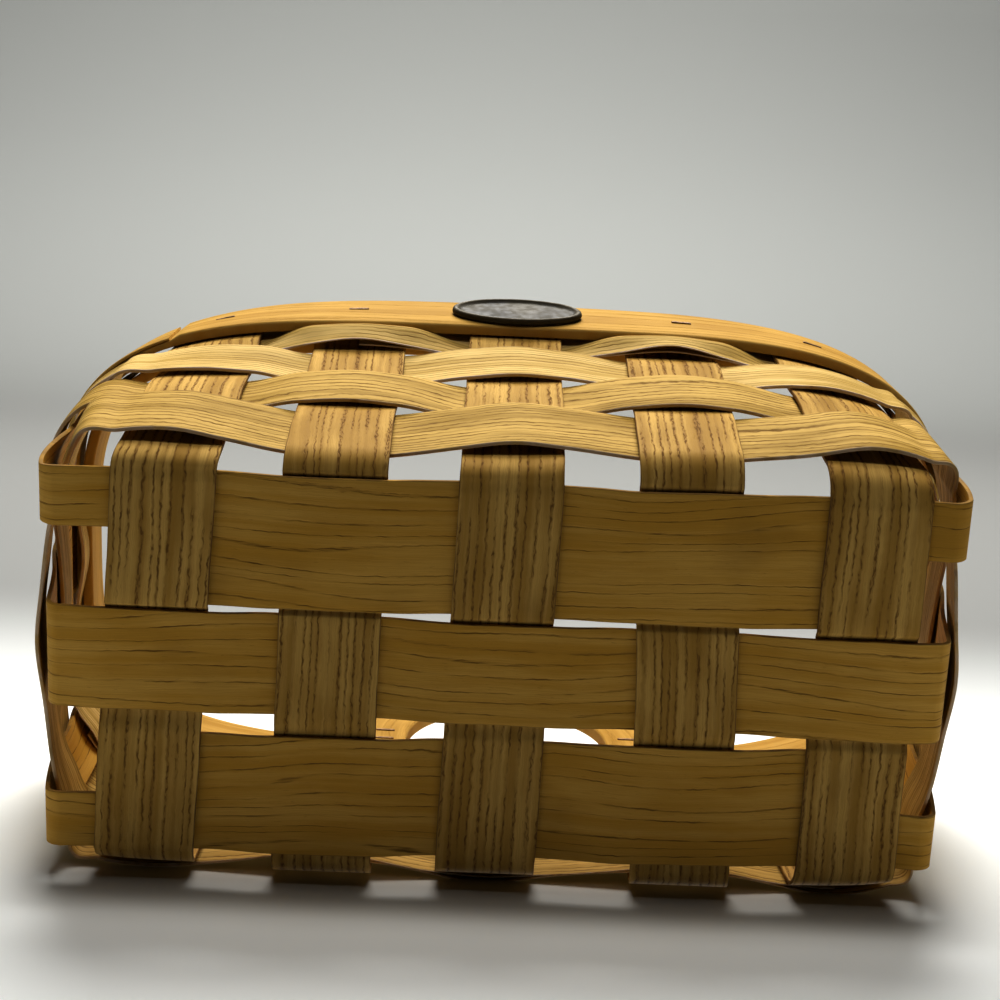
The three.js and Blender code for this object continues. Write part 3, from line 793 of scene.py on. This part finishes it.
# A material being wired; node() adds any node and gives back one of its outputs.
class Finish:
    def __init__(self, name):
        self.material = bpy.data.materials.new(name)
        self.material.use_nodes = True
        self.tree = self.material.node_tree
        self.tree.nodes.clear()
        self.shader = self.tree.nodes.new("ShaderNodeBsdfPrincipled")
        self.output = self.tree.nodes.new("ShaderNodeOutputMaterial")
        self.tree.links.new(self.shader.outputs[0], self.output.inputs["Surface"])

    def node(self, kind, settings=None, inputs=None, output=0):
        made = self.tree.nodes.new(kind)
        for key, value in (settings or {}).items():
            setattr(made, key, value)
        for key, value in (inputs or {}).items():
            self.plug(made.inputs[key], value)
        return Wire(self, made.outputs[output])

    def plug(self, socket, value):
        if isinstance(value, Wire):
            self.tree.links.new(value.socket, socket)
        elif isinstance(value, tuple) and len(value) == 3 and socket.type == "RGBA":
            socket.default_value = (*value, 1)
        else:
            socket.default_value = value

    def set(self, **values):
        for key, value in values.items():
            self.plug(self.shader.inputs[key.replace("_", " ")], value)

    def vector(self, x=0.0, y=0.0, z=0.0):
        return self.node("ShaderNodeCombineXYZ", {}, {0: x, 1: y, 2: z})

    def noise(self, vector, detail=2.0, rough=0.5, scale=1.0):
        settings = {"Vector": vector, "Scale": scale, "Detail": detail, "Roughness": rough}
        return self.node("ShaderNodeTexNoise", {"noise_dimensions": "3D"}, settings)

    def ramp(self, value, low, high, outLow=0.0, outHigh=1.0):
        limits = {0: value, 1: low, 2: high, 3: outLow, 4: outHigh}
        return self.node("ShaderNodeMapRange", {"interpolation_type": "SMOOTHSTEP"}, limits)

    def blend(self, factor, a, b, mode="MIX"):
        settings = {"data_type": "RGBA", "blend_type": mode}
        return self.node("ShaderNodeMix", settings, {0: factor, 6: a, 7: b}, 2)


# Ash. Lengths in millimetres: pitch is the growth rings' spacing across the splint, wander and
# flame how far they stray over its length, pore the length and width of one open pore.
# edge is the colour of worn edges and also paints light: darker shade on the stakes' edges, a pale
# reflection of the lit table on the weavers' edges
ashLooks = {
    "crossSplint": Settings(
        pale=(0.643, 0.422, 0.129), gold=(0.414, 0.245, 0.051), line=(0.236, 0.119, 0.026),
        pore=(0.132, 0.06, 0.016), edge=(0.214, 0.122, 0.039),
        pitch=2.4, wander=1, crinkle=1, flame=0.35, band=0.42, bandAmount=0.62,
        poreLength=1.6, poreWidth=0.34, poreAmount=0.8, fleck=0.3,
    ),
    "longSplint": Settings(
        pale=(0.657, 0.404, 0.094), gold=(0.558, 0.316, 0.047), line=(0.284, 0.142, 0.021),
        pore=(0.113, 0.052, 0.013), edge=(0.284, 0.168, 0.048),
        pitch=3.6, wander=2.4, crinkle=0.5, flame=1.1, band=0.25, bandAmount=0.34,
        poreLength=7.5, poreWidth=0.2, poreAmount=0.85, fleck=0.2,
    ),
    "lowWeaver": Settings(
        pale=(0.625, 0.426, 0.133), gold=(0.372, 0.235, 0.045), line=(0.204, 0.111, 0.02),
        pore=(0.127, 0.063, 0.011), edge=(0.569, 0.443, 0.31),
        pitch=2, wander=2.2, crinkle=1.1, flame=1.7, band=0.3, bandAmount=0.7,
        poreLength=3.5, poreWidth=0.26, poreAmount=0.8, fleck=0.25,
    ),
    "highWeaver": Settings(
        pale=(0.78, 0.573, 0.233), gold=(0.517, 0.351, 0.099), line=(0.27, 0.159, 0.036),
        pore=(0.166, 0.089, 0.022), edge=(0.668, 0.559, 0.509),
        pitch=1.5, wander=1.2, crinkle=0.6, flame=0.45, band=0.24, bandAmount=0.65,
        poreLength=9.0, poreWidth=0.2, poreAmount=0.6, fleck=0.15,
    ),
    "rim": Settings(
        pale=(0.598, 0.377, 0.101), gold=(0.446, 0.258, 0.049), line=(0.323, 0.167, 0.025),
        pore=(0.202, 0.103, 0.018), edge=(0.533, 0.355, 0.108),
        pitch=3.6, wander=1.6, crinkle=0.5, flame=1.0, band=0.5, bandAmount=0.25,
        poreLength=4.0, poreWidth=0.2, poreAmount=0.25, fleck=0.15,
    ),
}


# The noises behind the grain: how long and how wide their patches are in millimetres, what each
# adds to the piece's seed, and its detail and roughness. The pores' own size is in the looks.
ashNoise = {
    "drift": (75, 60, 0, 1.0, 0.5),
    "crinkle": (2.4, 2.2, 6.6, 1.0, 0.5),
    "bands": (170, 3.8, 3.1, 2.0, 0.5),
    "patches": (30, 13, 8.2, 2.0, 0.5),
    "flames": (95, 16, 5.7, 1.0, 0.4),
    "spacing": (400, 7, 9.4, 1.0, 0.5),
    "fading": (24, 3, 1.3, 2.0, 0.5),
    "strays": (2.2, 0.3, 23.5, 1.0, 0.5),
    "fibres": (10, 0.17, 30, 2.0, 0.5),
    "handling": (40, 26, 2.2, 3.0, 0.5),
    "wear": (7, 5, 4.4, 2.0, 0.5),
}
# Between which values each one comes in, and the least and the most that it then amounts to.
ashRamps = {
    "tone": (0.38, 0.62),
    "bandFade": (0.36, 0.58, 0.25, 1.0),
    "pore": (0.47, 0.6),
    "poreFade": (0.34, 0.5),
    "stray": (0.7, 0.76),
    "fibre": (0.35, 0.68, 0.0, 0.3),
    "grey": (0.54, 0.74, 0.0, 0.4),
    "wear": (0.3, 0.58, 0.35, 1.0),
    "edge": (0.34, 0.08),
    "rough": (0.2, 0.8, 0.6, 0.8),
}
ashSurface = Settings(
    driftReach=4,  # times each look's wander, in millimetres
    flameReach=3,
    spacingReach=2.2,
    toneShares=(0.62, 0.38),
    bandEdges=(1.5, 0.2),  # times each look's band, from the middle of a ring
    poreEdges=(1.05, 0.3),
    poreNoise=(17.7, 1.0, 0.4),
    greyed=(0.6, 0.58, 0.56),
    bumpStrength=0.4,
    bumpDepth=0.00035,
    specular=0.06,
)


def makeAsh(name):
    look = ashLooks[name]
    wood = Finish(name + "Ash")
    seed = wood.node("ShaderNodeAttribute", {"attribute_name": "seed"}, output="Fac")
    grain = wood.node("ShaderNodeAttribute", {"attribute_name": "grain"}, output="Vector")
    along, across, toEdge = (wood.node("ShaderNodeSeparateXYZ", {}, {0: grain}, k) for k in range(3))
    sizes = dict(ashNoise, pores=(look.poreLength, look.poreWidth, *ashSurface.poreNoise))

    def noise(kind, sideways):
        length, width, shift, detail, rough = sizes[kind]
        return wood.noise(wood.vector(along / length, sideways / width, seed + shift), detail, rough)

    def ramp(kind, value):
        return wood.ramp(value, *ashRamps[kind])

    # the grain drifts across the splint along its length, and its lines are a little crinkled
    drift = (noise("drift", across) - 0.5) * (look.wander * ashSurface.driftReach)
    crinkle = (noise("crinkle", across) - 0.5) * look.crinkle
    grained = across + drift + crinkle
    # broad bands of paler and deeper wood
    bandShare, patchShare = ashSurface.toneShares
    tone = ramp("tone", noise("bands", grained) * bandShare + noise("patches", across) * patchShare)
    colour = wood.blend(tone, look.gold, look.pale)
    # growth rings: evenly enough spaced, straying where the splint was flat cut
    flames = noise("flames", across) * (look.flame * ashSurface.flameReach)
    rings = grained / look.pitch + flames + noise("spacing", grained) * ashSurface.spacingReach
    turn = wood.node("ShaderNodeMath", {"operation": "FRACT"}, {0: rings})
    ringSpot = abs(turn - 0.5) * look.pitch
    fading = noise("fading", grained)

    def nearRing(edges):
        return wood.ramp(ringSpot, *(look.band * edge for edge in edges))

    band = nearRing(ashSurface.bandEdges) * ramp("bandFade", fading)
    colour = wood.blend(band * look.bandAmount, colour, look.line)
    # open pores: short dark dashes in the early wood of each ring, with a few strays
    crowd = nearRing(ashSurface.poreEdges) * ramp("poreFade", fading)
    dashes = ramp("pore", noise("pores", grained)) * crowd
    strays = ramp("stray", noise("strays", across)) * look.fleck
    pores = wood.node("ShaderNodeMath", {"operation": "MAXIMUM"}, {0: dashes, 1: strays})
    colour = wood.blend(pores * look.poreAmount, colour, look.pore)
    # fine fibres, between gold and the lines' colour
    fibres = noise("fibres", grained)
    deep = tuple(mix(a, b, 0.5) for a, b in zip(look.gold, look.line))
    colour = wood.blend(ramp("fibre", fibres), colour, deep)
    # handling greys some places, and the edges are worn; their colour is also painted light, a dark
    # painted shade line on the stakes and a pale painted reflection of the lit table on the weavers
    greyed = wood.blend(1.0, colour, ashSurface.greyed, "MULTIPLY")
    colour = wood.blend(ramp("grey", noise("handling", across)), colour, greyed)
    edgeWearAndPaintedLight = ramp("edge", toEdge) * ramp("wear", noise("wear", across))
    colour = wood.blend(edgeWearAndPaintedLight, colour, look.edge)
    rough = ramp("rough", fibres * 0.5 + tone * 0.2 + pores * 0.3)
    height = fibres * 0.35 - pores - band * 0.25
    settings = {"Strength": ashSurface.bumpStrength, "Distance": ashSurface.bumpDepth}
    bump = wood.node("ShaderNodeBump", {}, {**settings, "Height": height})
    wood.set(Base_Color=colour, Roughness=rough, Normal=bump, Specular_IOR_Level=ashSurface.specular)
    return wood.material


# Metals, with noises of so many waves to the metre.
pewterLook = Settings(
    field=((0.018, 0.0135, 0.0065), (0.05, 0.04, 0.02)),
    border=(0.1, 0.08, 0.045),
    rubbed=0.8,
    castScale=420.0,
    smokeScale=110.0,
    metal=0.3,
    rough=(0.5, 0.7),
    bumpStrength=0.5,
    bumpDepth=0.0002,
)
wireLook = Settings(
    brown=((0.13, 0.07, 0.028), (0.3, 0.18, 0.08)),
    tarnishScale=900.0,
    metal=0.5,
    rough=(0.4, 0.6),
)


def makePewter():
    pewter = Finish("castPewter")
    place = pewter.node("ShaderNodeTexCoord", {}, {}, "Object")
    cast = pewter.noise(place, 3.0, 0.5, pewterLook.castScale)
    smoke = pewter.noise(place, 2.0, 0.5, pewterLook.smokeScale)
    raised = pewter.node("ShaderNodeAttribute", {"attribute_name": "raised"}, output="Fac")
    shade = pewter.ramp(cast * 0.5 + smoke * 0.5, 0.38, 0.62)
    field = pewter.blend(shade, *pewterLook.field)
    colour = pewter.blend(raised * pewterLook.rubbed, field, pewterLook.border)
    settings = {"Strength": pewterLook.bumpStrength, "Distance": pewterLook.bumpDepth}
    bump = pewter.node("ShaderNodeBump", {}, {**settings, "Height": cast})
    rough = pewter.ramp(cast, 0.3, 0.7, *pewterLook.rough)
    pewter.set(Base_Color=colour, Metallic=pewterLook.metal, Roughness=rough, Normal=bump)
    return pewter.material


def makeWireFinish():
    steel = Finish("brownedWire")
    place = steel.node("ShaderNodeTexCoord", {}, {}, "Object")
    tarnish = steel.noise(place, 2.0, 0.5, wireLook.tarnishScale)
    colour = steel.blend(steel.ramp(tarnish, 0.35, 0.65), *wireLook.brown)
    rough = steel.ramp(tarnish, 0.3, 0.7, *wireLook.rough)
    steel.set(Base_Color=colour, Metallic=wireLook.metal, Roughness=rough)
    return steel.material


crossAsh = makeAsh("crossSplint")
longAsh = makeAsh("longSplint")
weaverAshes = [makeAsh("lowWeaver")] * 2 + [makeAsh("highWeaver")] * 2
rimAsh = makeAsh("rim")
castPewter = makePewter()
brownedWire = makeWireFinish()
print("finishes wired")

for i in range(len(crossX)):
    dress(makeStake("cross", i), f"cross_stake_{i + 1}", crossAsh)
for i, where in enumerate(("front", "middle", "back")):
    dress(makeStake("long", i), f"long_stake_{where}", longAsh)
print("stakes laid")
for row in range(topRow + 1):
    dress(makeWeaver(row), f"weaver_{row + 1}", weaverAshes[row])
print("weavers woven")
for where, way in (("outer", 1), ("inner", -1)):
    dress(makeHoop(where, way), f"{where}_rim_hoop", rimAsh)
dress(makeLoop(), "hanging_loop", rimAsh)
print("rim and loop bent")

# Plate: an oval casting with a raised border round a bare field.
plate = Settings(
    length=36.4,
    height=17.6,
    thick=1.6,
    border=1.3,
    shift=2.3,
    drop=0.5,  # below the hoop's middle
    segments=96,
)


def hoopSpot(share, z, offset):
    low, high = hoopLow, basket.rimHeight
    a = onWall(share * roundAt(low), low, offset)[0]
    b, out = onWall(share * roundAt(high), high, offset)
    a, b, out = Vector(a), Vector(b), Vector(out)
    up = (b - a).normalized()
    along = Vector((-out.y, out.x, 0))
    return a.lerp(b, (z - low) / (high - low)), along, up, along.cross(up).normalized()


def setAt(bm, origin, along, up, out):
    turn = Matrix((along, up, out)).transposed().to_4x4()
    place = Matrix.Translation(origin * mm) @ turn @ Matrix.Scale(mm, 4)
    bmesh.ops.transform(bm, matrix=place, verts=bm.verts)


# Half the plate's section: the dished field, the border's crest and rim, and the back.
def plateProfile(outer, inner, thick):
    field = [(0, thick - 0.75), (outer * 0.45, thick - 0.78), (inner - 1.6, thick - 0.82)]
    crest = [(inner - 0.9, thick - 0.8), (inner - 0.35, thick - 0.25), (inner, thick)]
    rim = [(outer - 0.7, thick + 0.02), (outer - 0.25, thick - 0.25), (outer, thick - 0.8)]
    return field + crest + rim + [(outer, 0.25), (outer - 0.25, 0), (0, 0)]


def makePlate():
    outer, thick = plate.length / 2, plate.thick
    inner = outer - plate.border
    bm = bmesh.new()
    raisedLayer = bm.verts.layers.float.new("raised")
    verts = []
    for x, z in plateProfile(outer, inner, thick):
        vert = bm.verts.new((x, 0, z))
        vert[raisedLayer] = 1.0 if x > inner - 0.4 and z > thick - 0.5 else 0.0
        verts.append(vert)
    profile = verts + [bm.edges.new(pair) for pair in zip(verts, verts[1:])]
    turning = {"cent": (0, 0, 0), "axis": (0, 0, 1), "angle": 2 * math.pi, "steps": plate.segments}
    bmesh.ops.spin(bm, geom=profile, use_merge=True, **turning)
    bmesh.ops.remove_doubles(bm, verts=bm.verts, dist=1e-4)
    bmesh.ops.scale(bm, vec=(1, plate.height / plate.length, 1), verts=bm.verts)
    bmesh.ops.recalc_face_normals(bm, faces=bm.faces)
    share = plate.shift / roundAt(basket.rimHeight)
    middle = hoopLow + basket.hoopHeight / 2 - plate.drop
    origin, along, up, out = hoopSpot(share, middle, hoopFace)
    setAt(bm, origin + out * hoop.gap, along, up, out)
    for face in bm.faces:
        face.smooth = True
    return makeObject("rimPlate", bm)


dress(makePlate(), "rim_plate", castPewter)

# Staples: a flattened wire crown whose ends turn into the wood.
staple = Settings(
    crown=5.6,
    wide=0.9,
    thick=0.4,
    sink=0.3,
    round=0.35,
    soften=0.18,
    rise=0.55,  # of the hoop's height
    shifts={1: 3.4, 14: 2.2, 15: -1.2},  # millimetres along the hoop from the post's middle
    stray=1.3,  # the others' shifts swing this far either way
    strayTurn=2.4,
    loopRises=(0.3, 0.7),
)


def makeStaple(name, origin, along, up, out):
    thick, sink = staple.thick, staple.sink
    bm = bmesh.new()
    bmesh.ops.create_cube(bm, size=1)
    bmesh.ops.scale(bm, vec=(staple.crown, staple.wide, thick + sink), verts=bm.verts)
    bmesh.ops.translate(bm, vec=(0, 0, (thick - sink) / 2), verts=bm.verts)
    bevel = {"profile": 0.5, "affect": "EDGES", "material": -1}
    for axis, offset, segments in ((0, staple.round, 3), (1, staple.soften, 2)):
        upper = [e for e in bm.edges if min(v.co.z for v in e.verts) > 0]
        level = [e for e in upper if abs(e.verts[0].co[axis] - e.verts[1].co[axis]) < 1e-6]
        bmesh.ops.bevel(bm, geom=level, offset=offset, segments=segments, **bevel)
    bmesh.ops.recalc_face_normals(bm, faces=bm.faces)
    setAt(bm, origin, along, up, out)
    return makeObject(name, bm)


stapleZ = hoopLow + basket.hoopHeight * staple.rise
for i in range(1, len(posts)):
    shift = staple.shifts.get(i, staple.stray * math.sin(i * staple.strayTurn))
    share = float((postDistance(i, stapleZ) + shift) / roundAt(stapleZ))
    made = makeStaple(f"rimStaple{i}", *hoopSpot(share, stapleZ, hoopFace))
    dress(made, f"rim_staple_{i}", brownedWire)
leanUp = Vector((0, math.sin(loopLean), math.cos(loopLean)))
leanOut = Vector((0, -math.cos(loopLean), math.sin(loopLean)))
tailSpots = [(side, rise) for side in (-1, 1) for rise in staple.loopRises]
for i, (side, rise) in enumerate(tailSpots):
    x = np.float64(side * (loop.halfInner + loop.width / 2))
    z = np.float64(hoopLow + rise * basket.hoopHeight)
    spot = loopPoint(x, z, loopSeat + loop.thick)
    made = makeStaple(f"loopStaple{i + 1}", Vector(spot), Vector((1, 0, 0)), leanUp, leanOut)
    dress(made, f"loop_staple_{i + 1}", brownedWire)
print("plate and staples seated")

# The photograph's view: the basket lies on its back wall, its bottom to the camera. The turn is
# in degrees about the camera's axes, the shift in millimetres, the focal length in pixels.
view = Settings(
    turn=(17.21, -0.59, 2.56),
    shift=(4.62, 44.38, 499.21),
    focal=2010.0,
    middle=-5.1,
    frame=1000,
    sensor=36,
)


def makeCamera():
    turn = Vector(math.radians(a) for a in view.turn)
    rotation = Matrix.Rotation(turn.length, 3, turn.normalized())
    shift = Vector(view.shift) + rotation @ Vector((view.middle, 0, 0))
    back = rotation.transposed()
    place = -(back @ shift) * mm
    axes = Matrix([back @ Vector(a) for a in ((1, 0, 0), (0, -1, 0), (0, 0, -1))]).transposed()
    data = bpy.data.cameras.new("camera")
    data.sensor_width = view.sensor
    data.lens = view.sensor * view.focal / view.frame
    data.clip_start, data.clip_end = 0.01, 50
    camera = bpy.data.objects.new("camera", data)
    camera.matrix_world = Matrix.Translation(place) @ axes.to_4x4()
    scene.collection.objects.link(camera)
    scene.camera = camera


makeCamera()

# Stage: the pale table that the basket lies on in the photograph, and a ground for views of it
# upright. Places are in metres.
stage = Settings(
    tableY=0.0604,
    tableZ=0.0085,
    tableSlope=0.1442,
    tableRun=(1.4, 2.1),  # its middle, and half its length away from the camera
    tableHalf=2.2,
    cove=1.1,
    coveRadius=0.7,
    # the table's colours paint light and shade: dark towards the camera, a bright pool round the
    # basket, darker beyond it and lighter again on the far sweep
    tableColours=((0.3, 0.3, 0.29), (0.88, 0.9, 0.89), (0.25, 0.252, 0.244), (0.56, 0.575, 0.56)),
    grades=((-0.28, -0.06), (0.08, 0.36), (0.9, 1.6)),  # where one colour turns into the next
    # a shadow painted on the table under the basket: its colour, then how far it fades out in depth
    # and to the sides
    contact=(0.42, 0.41, 0.385),  # where the basket shuts the light out
    contactDepth=(0.026, 0.008),
    contactSide=(0.125, 0.1),
    groundColour=(0.7, 0.71, 0.72),
    groundHalf=3,
    groundDrop=0.0001,
    rough=0.75,
    specular=0.2,
)


# Paper that is graded from its near to its far colours, which on the table paint its light and shade,
# with a painted shadow under the basket where asked, and clear from behind.
def makeStageFinish(name, colours, contact=False):
    sheet = Finish(name)
    place = sheet.node("ShaderNodeTexCoord", {}, {}, "Object")
    depth = sheet.node("ShaderNodeSeparateXYZ", {}, {0: place}, 2)
    colour = colours[0]
    for limits, further in zip(stage.grades, colours[1:]):
        colour = sheet.blend(sheet.ramp(depth, *limits), colour, further)
    if contact:
        # paint the shadow under the basket into the table's colour
        across = sheet.node("ShaderNodeSeparateXYZ", {}, {0: place}, 0)
        under = sheet.ramp(abs(depth), *stage.contactDepth)
        under = under * sheet.ramp(abs(across), *stage.contactSide)
        colour = sheet.blend(under, colour, stage.contact)
    sheet.set(Base_Color=colour, Roughness=stage.rough, Specular_IOR_Level=stage.specular)
    behind = sheet.node("ShaderNodeNewGeometry", {}, {}, "Backfacing")
    clear = sheet.node("ShaderNodeBsdfTransparent")
    paper = Wire(sheet, sheet.shader.outputs[0])
    both = sheet.node("ShaderNodeMixShader", {}, {0: behind, 1: paper, 2: clear})
    sheet.tree.links.new(both.socket, sheet.output.inputs["Surface"])
    return sheet.material


def makeSheet(name, place, look, finish):
    bm = bmesh.new()
    bmesh.ops.create_grid(bm, x_segments=40, y_segments=160, size=1)
    for vert in bm.verts:
        vert.co = place(vert.co.x, vert.co.y)
    bm.normal_update()
    if sum((f.normal for f in bm.faces), Vector()).dot(look) < 0:
        bmesh.ops.reverse_faces(bm, faces=bm.faces)
    for face in bm.faces:
        face.smooth = True
    sheet = makeObject(name, bm)
    sheet.data.materials.append(finish)
    sheet.visible_shadow = False
    return sheet


def tablePlace(x, along):
    middle, half = stage.tableRun
    run = middle + along * half
    slope = math.atan(stage.tableSlope)
    rise = 0.0
    if run > stage.cove:
        bend = min((run - stage.cove) / stage.coveRadius, math.pi / 2)
        rest = run - stage.cove - bend * stage.coveRadius
        rise = stage.coveRadius * (1 - math.cos(bend)) + rest
        run = stage.cove + stage.coveRadius * math.sin(bend)
    y = stage.tableY + run * math.sin(slope) - rise * math.cos(slope)
    z = stage.tableZ + run * math.cos(slope) + rise * math.sin(slope)
    return Vector((x * stage.tableHalf, y, z))


def groundPlace(x, y):
    return Vector((x * stage.groundHalf, y * stage.groundHalf, -stage.groundDrop))


paleTable = makeStageFinish("paleTable", stage.tableColours, contact=True)
makeSheet("table", tablePlace, Vector((0, -1, 0)), paleTable)
paleGround = makeStageFinish("paleGround", [stage.groundColour] * 2)
ground = makeSheet("ground", groundPlace, Vector((0, 0, 1)), paleGround)
ground.visible_diffuse = False
ground.visible_glossy = False

# Soft studio light: two lamps above the basket as it lies, one on the backdrop, and one that
# reaches the wall it lies on, for views from behind.
lights = {
    "key": Settings(place=(0, -0.88, 0.79), aim=(0, 0, 0.05), size=0.8, power=20.5),
    "top": Settings(place=(0, -1.1, 0.13), aim=(0, 0, 0), size=0.4, power=5.5),
    "far": Settings(place=(0, -1.0, 0.8), aim=(0, -0.1, 1.8), size=0.8, power=13),
    "back": Settings(place=(0.35, 1.2, 0.7), aim=(0, 0, 0.05), size=0.8, power=4),
}
lampColour = (1, 0.985, 0.96)
room = Settings(colour=(0.8, 0.76, 0.66, 1), strength=0.012, gamma=0.8)


def makeLamp(name, light):
    data = bpy.data.lights.new(name, "AREA")
    data.shape = "DISK"
    data.size = light.size
    data.energy = light.power
    data.color = lampColour
    lamp = bpy.data.objects.new(name, data)
    lamp.location = light.place
    lamp.rotation_mode = "QUATERNION"
    lamp.rotation_quaternion = (Vector(light.aim) - lamp.location).to_track_quat("-Z", "Y")
    scene.collection.objects.link(lamp)


for name, light in lights.items():
    makeLamp(name, light)
world = bpy.data.worlds.new("studio")
world.use_nodes = True
background = world.node_tree.nodes["Background"]
background.inputs[0].default_value = room.colour
background.inputs[1].default_value = room.strength
scene.world = world
scene.view_settings.view_transform = "Standard"
scene.view_settings.gamma = room.gamma
print("camera, stage and lights set")
